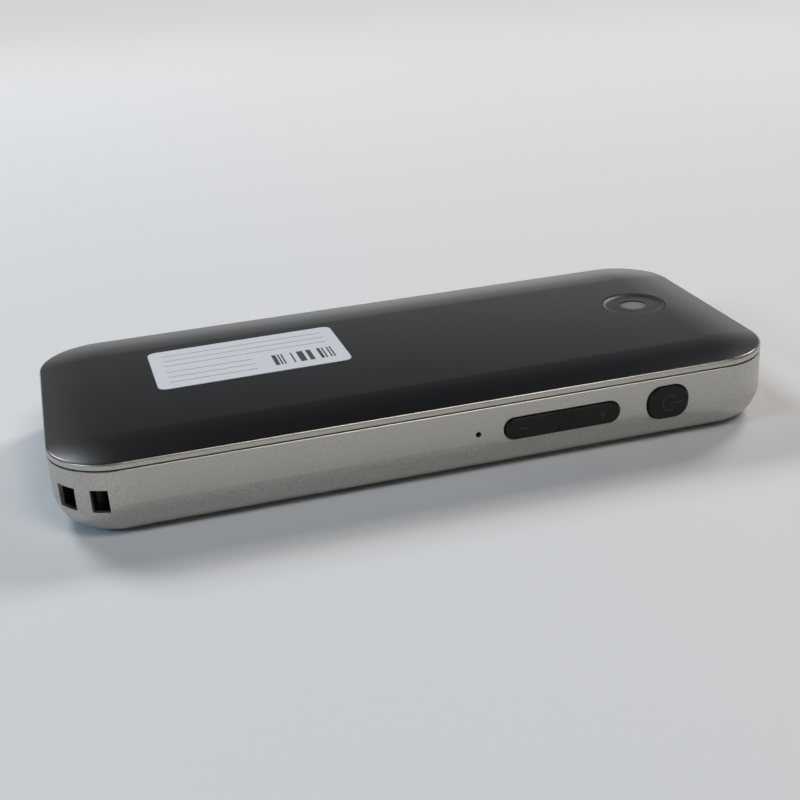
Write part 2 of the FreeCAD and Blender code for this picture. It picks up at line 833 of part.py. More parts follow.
def make_screws():
    places = [(place, main_board_top) for place in main_board_bosses + chassis_posts]
    places += [(place, sub_board_top) for place in sub_board_bosses]
    places += [(place, chassis_top) for place in chassis_screws]
    screws = []
    for number, ((across, along), seat) in enumerate(places, start=1):
        head = cylinder(f"screw_{number}_head", (across, along, seat), dim.screw_head_radius,
                        dim.screw_head_height)
        shank = cylinder(f"screw_{number}_shank", (across, along, seat - dim.screw_shank_length),
                         dim.screw_shank_radius, dim.screw_shank_length + dim.overlap)
        recess_base = seat + dim.screw_head_height - dim.screw_recess_depth
        first_slot = block(f"screw_{number}_slot", (across, along), recess_base,
                           (dim.screw_recess_length, dim.screw_recess_width, dim.overshoot))
        second_slot = block(f"screw_{number}_cross", (across, along), recess_base,
                            (dim.screw_recess_width, dim.screw_recess_length, dim.overshoot))
        solid = fuse(f"screw_{number}_solid", [head, shank])
        recess = fuse(f"screw_{number}_recess", [first_slot, second_slot])
        screws.append(cut(f"screw_{number}", solid, recess))
    group = doc.addObject("Part::Compound", "board_screws")
    group.Links = screws
    group.Label = "board_screws"


# Charging socket, loudspeaker and microphones

def make_socket():
    start = -half_length + dim.socket_set_back
    shell = new_body("usb_shell")
    outline = new_sketch(shell, "outline", "YZ", start)
    draw_pill(outline, 0, dim.socket_height, dim.socket_width, dim.socket_tall)
    pad(shell, "tube", outline, dim.socket_length)
    inside = new_sketch(shell, "inside", "YZ", start)
    draw_pill(inside, 0, dim.socket_height, dim.socket_width - dim.socket_wall * 2,
              dim.socket_tall - dim.socket_wall * 2)
    pocket(shell, "mouth", inside, dim.socket_length - dim.socket_wall, away=True)

    back = start + dim.socket_length - dim.socket_wall
    block_front = back - dim.tongue_block
    blade = box("usb_blade", (block_front - dim.tongue_length, -dim.tongue_width / 2,
                              dim.socket_height - dim.tongue_thickness / 2),
                (block_front, dim.tongue_width / 2, dim.socket_height + dim.tongue_thickness / 2))
    base_tall = dim.socket_tall - dim.socket_wall * 2
    base_wide = dim.socket_width - dim.socket_tall
    base = box("usb_base", (block_front, -base_wide / 2, dim.socket_height - base_tall / 2),
               (back, base_wide / 2, dim.socket_height + base_tall / 2))
    fuse("usb_tongue", [blade, base])


def make_speaker():
    inner_wall = -half_length + dim.frame_wall
    block("speaker_mesh", (inner_wall + dim.film, dim.speaker_across), dim.socket_height - dim.mesh_tall / 2,
          (dim.film, dim.mesh_width, dim.mesh_tall))
    start = -half_length + dim.speaker_inset
    box("loudspeaker", (start, dim.speaker_across - dim.speaker_width / 2, sub_board_top),
        (start + dim.speaker_length, dim.speaker_across + dim.speaker_width / 2,
         sub_board_top + dim.speaker_tall))


def make_microphones():
    mic_low = dim.button_height - dim.mic_tall / 2
    box("side_microphone", (dim.mic_along - dim.mic_length / 2, switch_back - dim.mic_depth, mic_low),
        (dim.mic_along + dim.mic_length / 2, switch_back, mic_low + dim.mic_tall))
    boot = new_body("mic_boot")
    outline = new_sketch(boot, "outline", "XZ", -dim.boot_front)
    draw_rounded_rectangle(outline, dim.mic_along, dim.button_height, dim.boot_length, dim.boot_tall,
                           dim.boot_radius)
    draw_circle(outline, dim.mic_along, dim.button_height, dim.mic_hole_radius)
    boot_pad = pad(boot, "rubber", outline, switch_back - dim.mic_depth - dim.boot_front)
    boot_pad.Reversed = True
    end_wall = -half_length + dim.frame_wall + dim.plunger_gap
    box("bottom_microphone", (end_wall, dim.end_mic_across - dim.mic_length / 2, sub_board_top),
        (end_wall + dim.mic_depth, dim.end_mic_across + dim.mic_length / 2, sub_board_top + dim.mic_tall))


# Battery and the ribbon over it

def make_battery():
    body = new_body("battery_pack")
    outline = new_sketch(body, "outline", "XY", dim.battery_base)
    middle = (dim.battery_rear + dim.battery_front) / 2
    draw_rounded_rectangle(outline, middle, 0, dim.battery_front - dim.battery_rear, dim.battery_width,
                           dim.battery_corner)
    pad(body, "pouch", outline, dim.battery_thickness)
    soften(body, "Fillet", "soft_edge", at_height(dim.battery_base + dim.battery_thickness),
           dim.battery_radius)
    strips = []
    for name, across in (("near", -dim.tape_spread), ("far", dim.tape_spread)):
        strips.append(block(f"tape_strip_{name}", (middle, across), chassis_top,
                            (dim.battery_front - dim.battery_rear - dim.tape_inset * 2, dim.tape_width,
                             dim.battery_base - chassis_top)))
    tape = doc.addObject("Part::Compound", "battery_tape")
    tape.Links = strips
    tape.Label = "battery_tape"
    plug_start = dim.main_board_near_x + dim.plug_set_back
    low, high = dim.plug_across - dim.tab_width / 2, dim.plug_across + dim.tab_width / 2
    tab_base = main_board_top + dim.tab_rise
    tab = box("plug_tab", (dim.battery_front, low, tab_base),
              (plug_start + dim.overlap, high, tab_base + dim.film))
    housing = box("plug_housing", (plug_start, dim.plug_across - dim.plug_width / 2, main_board_top),
                  (plug_start + dim.plug_length, dim.plug_across + dim.plug_width / 2,
                   main_board_top + dim.plug_height))
    fuse("battery_plug", [tab, housing])


def make_ribbon():
    body = new_body("board_link_flex")
    side = new_sketch(body, "side", "XZ", -(dim.ribbon_across - dim.ribbon_width / 2))
    film = dim.film
    rise, fall, high = dim.ribbon_rise, dim.ribbon_fall, dim.ribbon_high
    draw_polygon(side, [
        (rise - dim.ribbon_foot, sub_board_top),
        (rise, sub_board_top),
        (rise, high),
        (fall - film, high),
        (fall - film, main_board_top),
        (fall + dim.ribbon_foot, main_board_top),
        (fall + dim.ribbon_foot, main_board_top + film),
        (fall, main_board_top + film),
        (fall, high + film),
        (rise - film, high + film),
        (rise - film, sub_board_top + film),
        (rise - dim.ribbon_foot, sub_board_top + film),
    ])
    ribbon = pad(body, "strip", side, dim.ribbon_width)
    ribbon.Reversed = True
    return body


# Camera

def make_camera():
    ring = new_body("camera_ring")
    profile = new_sketch(ring, "profile", "XZ")
    draw_polygon(profile, [
        (dim.ring_lip_radius, dim.ring_lip_base),
        (dim.ring_recess_radius, dim.ring_lip_base),
        (dim.ring_recess_radius, dim.camera_seat_height),
        (dim.ring_radius, dim.camera_seat_height),
        (dim.ring_radius, dim.ring_top),
        (dim.ring_radius - dim.ring_flat, dim.ring_top),
        (dim.ring_radius - dim.ring_flat - dim.ring_bevel, dim.ring_top - dim.ring_bevel_drop),
        (dim.ring_lip_radius + dim.ring_dish_width, dim.ring_lip_top - dim.ring_dish_drop),
        (dim.ring_lip_radius, dim.ring_lip_top),
    ])
    revolution = ring.newObject("PartDesign::Revolution", "camera_ring_turned")
    revolution.Profile = profile
    revolution.ReferenceAxis = (profile, ["V_Axis"])
    revolution.Angle = 360
    move_to(ring, dim.camera_along, dim.camera_across, 0)

    window_top = dim.ring_lip_base
    cylinder("camera_window", (dim.camera_along, dim.camera_across, window_top - dim.window_thickness),
             dim.window_radius, dim.window_thickness)
    camera_base = block("camera_base", (dim.camera_along, dim.camera_across), dim.camera_body_base,
                        (dim.camera_body, dim.camera_body, dim.camera_body_top - dim.camera_body_base))
    barrel = cylinder("camera_barrel", (dim.camera_along, dim.camera_across, dim.camera_body_top - dim.overlap),
                      dim.barrel_radius, dim.barrel_top - dim.camera_body_top + dim.overlap)
    lens_space = cylinder("lens_space", (dim.camera_along, dim.camera_across, dim.barrel_top - dim.lens_depth),
                          dim.lens_radius, dim.lens_depth + dim.overshoot)
    cut("camera_module", fuse("camera_solid", [camera_base, barrel]), lens_space)
    cylinder("camera_lens", (dim.camera_along, dim.camera_across, dim.barrel_top - dim.lens_depth),
             dim.lens_radius, dim.lens_depth - dim.lens_sink)
    foam_height = dim.camera_boss_base - dim.camera_body_top
    foam = cylinder("foam_disc", (dim.camera_along, dim.camera_across, dim.camera_body_top),
                    dim.foam_outer, foam_height)
    foam_hole = cylinder("foam_hole", (dim.camera_along, dim.camera_across, dim.camera_body_top - dim.overshoot),
                         dim.foam_inner, foam_height + dim.overshoot * 2)
    cut("camera_foam", foam, foam_hole)


# Buttons and their switches

def make_button(name, draw_face, draw_flange, nibs):
    """A button that stands out of its slot, with a flange and nibs behind the frame's wall."""
    body = new_body(name)
    front = half_width + dim.button_stand
    face = new_sketch(body, "face", "XZ", front)
    draw_face(face)
    pad(body, "cap", face, front + dim.flange_face).Reversed = True
    soften(body, "Fillet", "rounded_rim", at_depth(-front), dim.button_rounding)
    flange = new_sketch(body, "flange", "XZ", -dim.flange_face)
    draw_flange(flange)
    pad(body, "flange_plate", flange, dim.flange_back - dim.flange_face).Reversed = True
    tips = new_sketch(body, "nibs", "XZ", -dim.flange_back)
    for across in nibs:
        draw_rounded_rectangle(tips, across, dim.button_height, dim.nib_width, dim.nib_width,
                               dim.nib_radius)
    pad(body, "nib_pads", tips, dim.nib_end - dim.flange_back).Reversed = True
    return body


def make_rocker():
    length = dim.rocker_slot_length - dim.slot_clearance * 2
    height = dim.rocker_slot_height - dim.slot_clearance * 2
    margin = dim.rocker_flange_margin * 2

    def face(sketch):
        draw_pill(sketch, dim.rocker_along, dim.button_height, length, height)

    def flange(sketch):
        draw_rounded_rectangle(sketch, dim.rocker_along, dim.button_height, length + margin,
                               height + margin, dim.flange_radius)

    nibs = [dim.rocker_along - dim.nib_spread, dim.rocker_along + dim.nib_spread]
    body = make_button("volume_rocker", face, flange, nibs)
    saddle = new_sketch(body, "saddle", "XY", dim.button_height + height)
    front = -half_width - dim.button_stand
    draw_circle(saddle, dim.rocker_along, front + dim.saddle_depth - dim.saddle_radius, dim.saddle_radius)
    pocket(body, "saddle_scoop", saddle, height * 2)
    rib = new_sketch(body, "rib", "XY", dim.button_height - dim.rib_length / 2)
    draw_circle(rib, dim.rocker_along, dim.flange_back, dim.rib_radius)
    pad(body, "rocking_rib", rib, dim.rib_length)
    return body


def make_power_button():
    length = dim.power_slot_length - dim.slot_clearance * 2
    height = dim.power_slot_height - dim.slot_clearance * 2
    radius = dim.power_slot_radius - dim.slot_clearance
    margin = dim.power_flange_margin * 2 + dim.slot_clearance * 2

    def face(sketch):
        draw_rounded_rectangle(sketch, dim.power_along, dim.button_height, length, height, radius)

    def flange(sketch):
        draw_rounded_rectangle(sketch, dim.power_along, dim.button_height, length + margin,
                               height + margin, dim.flange_radius)

    return make_button("power_button", face, flange, [dim.power_along])


def make_switch(name, across):
    """A small side switch: a housing with a square pocket, and the plunger that slides in it."""
    low = dim.button_height - dim.switch_tall / 2
    housing = box(f"{name}_housing", (across - dim.switch_length / 2, dim.switch_front, low),
                  (across + dim.switch_length / 2, switch_back, low + dim.switch_tall))
    pocket_wide = dim.plunger_wide + dim.plunger_gap * 2
    pocket_tall = dim.plunger_tall + dim.plunger_gap * 2
    space = box(f"{name}_space", (across - pocket_wide / 2, dim.switch_front - dim.overshoot,
                                  dim.button_height - pocket_tall / 2),
                (across + pocket_wide / 2, dim.switch_front + dim.plunger_pocket,
                 dim.button_height + pocket_tall / 2))
    cut(f"{name}_switch", housing, space)
    box(f"{name}_plunger", (across - dim.plunger_wide / 2, dim.plunger_front,
                            dim.button_height - dim.plunger_tall / 2),
        (across + dim.plunger_wide / 2, dim.plunger_front + dim.plunger_length,
         dim.button_height + dim.plunger_tall / 2))


def make_key_supports():
    """The flex and the bracket behind the switches, with the fulcrum that the rocker's rib leans on."""
    strip = box("key_flex_strip", (dim.key_flex_start, switch_back, dim.key_flex_low),
                (dim.key_flex_end, key_flex_back, dim.key_flex_high))
    centre = (dim.rocker_along, switch_back)
    window_size = (dim.fulcrum_width + dim.fulcrum_window_margin * 2, dim.overshoot,
                   dim.rib_length + dim.fulcrum_window_margin * 2)
    window = block("key_flex_window", centre, dim.button_height - window_size[2] / 2, window_size)
    cut("side_key_flex", strip, window)

    plate = box("bracket_plate", (dim.key_flex_start, key_flex_back, chassis_top),
                (dim.chassis_front_end, key_bracket_back, dim.key_flex_high))
    fulcrum_front = dim.flange_back + dim.rib_radius + dim.fulcrum_gap
    fulcrum = box("rocker_fulcrum", (dim.rocker_along - dim.fulcrum_width / 2, fulcrum_front,
                                     dim.button_height - dim.rib_length / 2),
                  (dim.rocker_along + dim.fulcrum_width / 2, key_flex_back + dim.overlap,
                   dim.button_height + dim.rib_length / 2))
    fuse("side_key_bracket", [plate, fulcrum])


make_frame()
make_back_cover()
make_label()
make_cover_glass()
make_gasket()
make_display()
make_chassis()
make_boards()
make_chips()
make_screws()
make_socket()
make_speaker()
make_microphones()
make_battery()
make_ribbon()
make_camera()
make_rocker()
make_power_button()
make_switch("volume_down", dim.rocker_along - dim.nib_spread)
make_switch("volume_up", dim.rocker_along + dim.nib_spread)
make_switch("power", dim.power_along)
make_key_supports()

# Checks and export

nodes = [
    "back_cover", "rating_label", "mid_frame", "cover_glass", "glass_gasket", "display_panel", "display_flex",
    "inner_chassis", "board_screws", "main_board", "shield_can", "application_processor", "memory_chip",
    "power_chip", "radio_module", "antenna_flex", "sub_board", "usb_shell", "usb_tongue", "speaker_mesh",
    "loudspeaker", "side_microphone", "mic_boot", "bottom_microphone", "battery_pack", "battery_tape",
    "battery_plug", "board_link_flex", "camera_ring", "camera_window", "camera_module", "camera_lens",
    "camera_foam", "volume_rocker", "power_button", "volume_up_switch", "volume_down_switch", "power_switch",
    "volume_up_plunger", "volume_down_plunger", "power_plunger", "side_key_flex", "side_key_bracket",
]

doc.recompute()
for item in doc.Objects:
    if "Invalid" in item.State or "Error" in item.State:
        raise ValueError(f"{item.Name} failed: {item.State}")

os.makedirs("parts", exist_ok=True)
for node in nodes:
    piece = doc.getObjectsByLabel(node)[0]
    shape = piece.Shape
    if shape.isNull() or not shape.isValid():
        raise ValueError(f"{node} has no valid shape")
    shape.exportStep(f"parts/{node}.step")
    print(node, len(shape.Solids), "solids", round(shape.Volume, 2), "mm3")
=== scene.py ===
import math

import bmesh
import bpy
from mathutils import Matrix, Vector


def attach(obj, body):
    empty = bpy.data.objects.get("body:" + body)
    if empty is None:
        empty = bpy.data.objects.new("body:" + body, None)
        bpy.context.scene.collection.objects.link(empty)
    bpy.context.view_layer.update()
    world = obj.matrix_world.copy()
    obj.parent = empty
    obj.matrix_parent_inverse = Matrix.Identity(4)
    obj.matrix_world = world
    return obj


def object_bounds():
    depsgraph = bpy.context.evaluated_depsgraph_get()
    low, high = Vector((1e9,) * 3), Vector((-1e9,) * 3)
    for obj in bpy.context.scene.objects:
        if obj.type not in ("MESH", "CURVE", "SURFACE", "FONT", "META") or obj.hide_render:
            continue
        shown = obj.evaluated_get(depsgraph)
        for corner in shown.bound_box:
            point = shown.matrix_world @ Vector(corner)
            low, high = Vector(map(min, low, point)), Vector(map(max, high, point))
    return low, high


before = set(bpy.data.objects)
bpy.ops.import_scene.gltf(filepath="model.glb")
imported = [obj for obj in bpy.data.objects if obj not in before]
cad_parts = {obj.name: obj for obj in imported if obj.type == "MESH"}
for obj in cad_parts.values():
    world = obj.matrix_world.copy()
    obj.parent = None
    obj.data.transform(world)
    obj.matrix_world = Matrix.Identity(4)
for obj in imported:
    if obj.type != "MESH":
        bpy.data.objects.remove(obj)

mm = 0.001
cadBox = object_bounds()
print("frame loaded:", len(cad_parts), "nodes")


# Shader maths

class Wire:  # a socket that can be used in a Python expression
    def __init__(self, tree, socket):
        self.tree, self.socket = tree, socket

    def __add__(self, other):
        return self.tree.maths("ADD", self, other)

    def __sub__(self, other):
        return self.tree.maths("SUBTRACT", self, other)

    def __mul__(self, other):
        return self.tree.maths("MULTIPLY", self, other)

    def __truediv__(self, other):
        return self.tree.maths("DIVIDE", self, other)

    def __radd__(self, other):
        return self.tree.maths("ADD", other, self)

    def __rsub__(self, other):
        return self.tree.maths("SUBTRACT", other, self)

    def __rmul__(self, other):
        return self.tree.maths("MULTIPLY", other, self)


class Shader:  # one material and the nodes that make it
    def __init__(self, name, sockets):
        self.material = bpy.data.materials.new(name)
        self.material.use_nodes = True
        self.nodes = self.material.node_tree.nodes
        self.links = self.material.node_tree.links
        self.surface = self.nodes["Principled BSDF"]
        for socketName, value in sockets.items():
            self.surface.inputs[socketName].default_value = value
        self.place = self.add("ShaderNodeTexCoord", output="Object")

    def add(self, kind, settings=None, inputs=None, output=0):
        node = self.nodes.new(kind)
        for setting, value in (settings or {}).items():
            setattr(node, setting, value)
        for socketName, value in (inputs or {}).items():
            self.feed(node.inputs[socketName], value)
        return Wire(self, node.outputs[output])

    def feed(self, socket, value):
        if isinstance(value, Wire):
            self.links.new(value.socket, socket)
        else:
            socket.default_value = value

    def maths(self, operation, *values):
        return self.add("ShaderNodeMath", {"operation": operation}, dict(enumerate(values)))

    def blend(self, factor, first, second):
        return self.add("ShaderNodeMix", {"data_type": "RGBA"}, {0: factor, 6: first, 7: second}, output=2)

    def axis(self, place, letter):
        return self.add("ShaderNodeSeparateXYZ", inputs={0: place}, output="XYZ".index(letter))

    def step(self, value, low, high):  # 0 below low, 1 above high
        return self.add("ShaderNodeMapRange", {"interpolation_type": "SMOOTHSTEP"},
                        {0: value, 1: low, 2: high, 3: 0.0, 4: 1.0})

    def noise(self, size, detail=2.0, place=None):  # size is that of one blotch, in metres
        return self.add("ShaderNodeTexNoise", inputs={"Vector": place or self.place, "Scale": 1 / size,
                                                      "Detail": detail})

    def fromAxis(self, along=0.0, across=0.0):  # distance from an upright axis
        local = self.add("ShaderNodeMapping", {"vector_type": "TEXTURE"},
                         {"Vector": self.place, "Location": (along, across, 0.0)})
        flat = self.add("ShaderNodeVectorMath", {"operation": "MULTIPLY"}, {0: local, 1: (1, 1, 0)})
        return self.add("ShaderNodeVectorMath", {"operation": "LENGTH"}, {0: flat}, output="Value")

    def bump(self, height, depth, strength=1.0):
        return self.add("ShaderNodeBump", inputs={"Height": height, "Distance": depth, "Strength": strength})

    def use(self, **sockets):
        for socketName, value in sockets.items():
            self.feed(self.surface.inputs[socketName.replace("_", " ")], value)
        return self.material


def shade(value):  # a grey or a colour with full alpha
    return (value, value, value, 1.0) if isinstance(value, float) else (*value, 1.0)


def dimmed(colour, share):
    return tuple(value * share for value in colour)


# Finishes

cornerRadius = 11.5 * mm

frameLook = {
    "metallic": 0.85,
    "colour": (0.5, 0.475, 0.435),
    "grainDark": (0.34, 0.32, 0.29),
    "grainLight": (0.7, 0.67, 0.615),
    "grainSize": 0.2 * mm,
    "grainContrast": (0.3, 0.7),
    "cloudSize": 9 * mm,
    "plainShare": 0.35,  # share of the plain colour, and what the clouds add to it
    "cloudShare": 0.2,
    "roughness": 0.36,
    "roughSpread": 0.3,
    "bumpDepth": 0.02 * mm,
    "bumpStrength": 0.6,
    # painted shade: near black colour for the hollow and the openings of the frame
    "inside": 0.05,
    "straight": (cadBox[1][0] - cornerRadius, cadBox[1][1] - cornerRadius),  # half of each straight side
    "roundIn": 4.4 * mm,  # how far the lower wall curves in
    "roundRise": 6.0 * mm,
    "roundTop": 6.4 * mm,
    # the painted shade fades in between these two depths
    "darkFrom": 0.5 * mm,  # depth below the outside surface
    "darkTo": 0.9 * mm,
}

coverLook = {
    "metallic": 0.9,
    "cloudSize": 30 * mm,
    # painted shade: the top's dark colour, with a cloudy tone, set against the wall's painted light colour
    "top": (0.066, 0.068, 0.072),
    "topLight": (0.08, 0.082, 0.086),
    "litWallFrom": 13.76 * mm,  # painted light and shade: below here the wall is coloured light, above it the top dark, changing at the crown edge
    "litWallTo": 13.88 * mm,
    "lipTop": 12.72 * mm,  # below this is the hidden lip
    "lipFade": 0.05 * mm,
    "lip": 0.02,
    "roughness": 0.2,
    "roughSpread": 0.06,
    "bumpDepth": 0.01 * mm,
    "bumpStrength": 0.18,
}


def sandblasted(shader, look):  # bright and dark grains over a metal colour
    fine = shader.noise(look["grainSize"], 3.0)
    cloud = shader.noise(look["cloudSize"], 2.0)
    bright = shader.step(fine, *look["grainContrast"])
    grains = shader.blend(bright, shade(look["grainDark"]), shade(look["grainLight"]))
    colour = shader.blend(look["plainShare"] + cloud * look["cloudShare"], grains, shade(look["colour"]))
    rough = look["roughness"] + (fine - 0.5) * look["roughSpread"]
    return colour, rough, fine


# painted shade mask: picks out the hollow and the openings of the frame for a near black colour
def insideOf(shader, look):  # 1 in the hollow and the openings of the frame, 0 on its outside
    along = shader.maths("ABSOLUTE", shader.axis(shader.place, "X")) - look["straight"][0]
    across = shader.maths("ABSOLUTE", shader.axis(shader.place, "Y")) - look["straight"][1]
    along, across = shader.maths("MAXIMUM", along, 0.0), shader.maths("MAXIMUM", across, 0.0)
    reach = shader.maths("SQRT", along * along + across * across)
    drop = (look["roundTop"] - shader.axis(shader.place, "Z")) / look["roundRise"]
    drop = shader.maths("MINIMUM", shader.maths("MAXIMUM", drop, 0.0), 1.0)
    curve = look["roundIn"] * (1 - shader.maths("SQRT", 1 - drop * drop))
    depth = cornerRadius - curve - reach
    return shader.step(depth, look["darkFrom"], look["darkTo"])


def frameMetal():
    look = frameLook
    shader = Shader("frameMetal", {"Metallic": look["metallic"]})
    colour, rough, fine = sandblasted(shader, look)
    # painted shade: the hollow and the openings of the frame are coloured near black
    colour = shader.blend(insideOf(shader, look), colour, shade(look["inside"]))
    normal = shader.bump(fine, look["bumpDepth"], look["bumpStrength"])
    return shader.use(Base_Color=colour, Roughness=rough, Normal=normal)


def coverMetal():
    look = coverLook
    shader = Shader("coverMetal", {"Metallic": look["metallic"]})
    # painted light and shade: one finish coloured light on the wall and dark on the top, for how light falls
    # on each
    litWallColour, wallRough, fine = sandblasted(shader, frameLook)
    height = shader.axis(shader.place, "Z")
    shadedTopMask = shader.step(height, look["litWallFrom"], look["litWallTo"])
    cloud = shader.noise(look["cloudSize"], 2.0)
    shadedTopColour = shader.blend(cloud, shade(look["top"]), shade(look["topLight"]))
    colour = shader.blend(shadedTopMask, litWallColour, shadedTopColour)
    onLip = shader.step(height, look["lipTop"], look["lipTop"] - look["lipFade"])
    colour = shader.blend(onLip, colour, shade(look["lip"]))
    satin = look["roughness"] + (fine - 0.5) * look["roughSpread"]
    rough = wallRough * (1 - shadedTopMask) + satin * shadedTopMask
    normal = shader.bump(fine, look["bumpDepth"], look["bumpStrength"])
    return shader.use(Base_Color=colour, Roughness=rough, Normal=normal)


plasticLook = {
    "grainSize": 0.12 * mm,
    "grainDepth": 0.006 * mm,
    "grainShare": 0.4,
    "cloudSize": 4 * mm,
    "cloudShare": 0.6,
    "darkest": 0.82,  # share of the full colour
    "roughSpread": 0.18,
    "bumpStrength": 0.7,
    "gloss": 0.5,
}


def mouldedPlastic(name, colour, roughness, **changes):
    look = {**plasticLook, **changes}
    shader = Shader(name, {"Specular IOR Level": look["gloss"]})
    fine = shader.noise(look["grainSize"], 2.0)
    cloud = shader.noise(look["cloudSize"], 2.0)
    blotch = cloud * look["cloudShare"] + fine * look["grainShare"]
    mixed = shader.blend(blotch, shade(dimmed(colour, look["darkest"])), shade(colour))
    rough = roughness + (fine - 0.5) * look["roughSpread"]
    return shader.use(Base_Color=mixed, Roughness=rough,
                      Normal=shader.bump(fine, look["grainDepth"], look["bumpStrength"]))


sheetLook = {
    "lineSize": 0.9 * mm,
    "stretch": (1.0, 14.0, 14.0),  # lines run along the axis with the smallest number
    "darkest": 0.8,
    "roughSpread": 0.2,
    "bumpDepth": 0.004 * mm,
    "bumpStrength": 0.5,
}


def sheetMetal(name, colour, roughness, **changes):
    look = {**sheetLook, **changes}
    shader = Shader(name, {"Metallic": 1.0})
    stretched = shader.add("ShaderNodeMapping", inputs={"Vector": shader.place, "Scale": look["stretch"]})
    lines = shader.noise(look["lineSize"], 3.0, stretched)
    mixed = shader.blend(lines, shade(dimmed(colour, look["darkest"])), shade(colour))
    rough = roughness + (lines - 0.5) * look["roughSpread"]
    return shader.use(Base_Color=mixed, Roughness=rough,
                      Normal=shader.bump(lines, look["bumpDepth"], look["bumpStrength"]))


boardLook = {
    "mask": (0.012, 0.07, 0.035),
    "maskLight": (0.016, 0.085, 0.045),
    "track": (0.03, 0.15, 0.08),
    "trackWidth": 0.035 * mm,
    "cellLength": 2.3 * mm,
    "cellHeight": 0.62 * mm,
    "cellShift": 0.37,
    "pad": (0.55, 0.42, 0.16),
    "padPitch": 1.7 * mm,
    "padReach": (0.44, 0.47),
    "roughness": 0.38,
    "bumpDepth": 0.01 * mm,
    "bumpStrength": 0.2,
}


def boardLaminate():
    look = boardLook
    shader = Shader("boardLaminate", {"Roughness": look["roughness"]})
    cells = shader.add("ShaderNodeTexBrick", {"offset": look["cellShift"]},
                       {"Vector": shader.place, "Scale": 1 / mm, "Mortar Size": look["trackWidth"] / mm,
                        "Brick Width": look["cellLength"] / mm, "Row Height": look["cellHeight"] / mm,
                        "Color1": shade(look["mask"]), "Color2": shade(look["maskLight"]),
                        "Mortar": shade(look["track"])})
    pads = shader.add("ShaderNodeTexVoronoi", {"feature": "DISTANCE_TO_EDGE"},
                      {"Vector": shader.place, "Scale": 1 / look["padPitch"]})
    gold = shader.step(pads, *look["padReach"])
    colour = shader.blend(gold, cells, shade(look["pad"]))
    return shader.use(Base_Color=colour, Metallic=gold,
                      Normal=shader.bump(pads, look["bumpDepth"], look["bumpStrength"]))


filmLook = {
    "film": (0.3, 0.13, 0.02),
    "copper": (0.42, 0.2, 0.05),
    "halfPitch": 0.4 * mm,
    "trackEdge": (0.2 * mm, 0.24 * mm),
    "smearSize": 0.6 * mm,
    "roughness": 0.32,
    "roughSpread": 0.12,
}


def amberFilm():
    look = filmLook
    shader = Shader("amberFilm", {})
    tracks = shader.maths("PINGPONG", shader.axis(shader.place, "Y"), look["halfPitch"])
    copper = shader.step(tracks, *look["trackEdge"])
    colour = shader.blend(copper, shade(look["film"]), shade(look["copper"]))
    rough = look["roughness"] + shader.noise(look["smearSize"]) * look["roughSpread"]
    return shader.use(Base_Color=colour, Roughness=rough)


foilLook = {
    "metallic": 0.7,
    "crinkleSize": 3 * mm,
    "dark": (0.2, 0.21, 0.225),
    "light": (0.32, 0.33, 0.345),
    "roughness": 0.3,
    "roughSpread": 0.25,
    "bumpDepth": 0.12 * mm,
    "bumpStrength": 0.5,
}


def batteryFoil():
    look = foilLook
    shader = Shader("batteryFoil", {"Metallic": look["metallic"]})
    crinkle = shader.noise(look["crinkleSize"], 5.0)
    colour = shader.blend(crinkle, shade(look["dark"]), shade(look["light"]))
    return shader.use(Base_Color=colour, Roughness=look["roughness"] + crinkle * look["roughSpread"],
                      Normal=shader.bump(crinkle, look["bumpDepth"], look["bumpStrength"]))


labelLook = {
    "centre": (-26.5 * mm, 6.45 * mm, 0.0),
    "turn": math.radians(0.9),
    "paper": (0.7, 0.73, 0.77),
    "paperDark": 0.96,  # share of the paper colour
    "fibreSize": 0.5 * mm,
    "fibreDepth": 0.004 * mm,
    "fibreStrength": 0.4,
    "roughness": 0.45,
    "roughSpread": 0.1,
    "coat": 0.25,
    "coatRoughness": 0.2,
    "ink": (0.03, 0.032, 0.04),
    "softInk": (0.16, 0.17, 0.19),
    "barFrom": (4.0 * mm, -6.6 * mm),
    "barTo": (15.4 * mm, -1.4 * mm),
    "barPitch": 0.3 * mm,
    "barChance": 0.47,  # columns with a higher draw are inked
    "ruleFrom": -15.4 * mm,
    "ruleTo": 15.4 * mm,
    "ruleHeights": (6.6 * mm, 4.1 * mm, 1.6 * mm),
    "shortRuleTo": 0.6 * mm,
    "shortRuleHeights": (-1.6 * mm, -4.1 * mm, -6.6 * mm),
    "ruleHalf": 0.11 * mm,
}


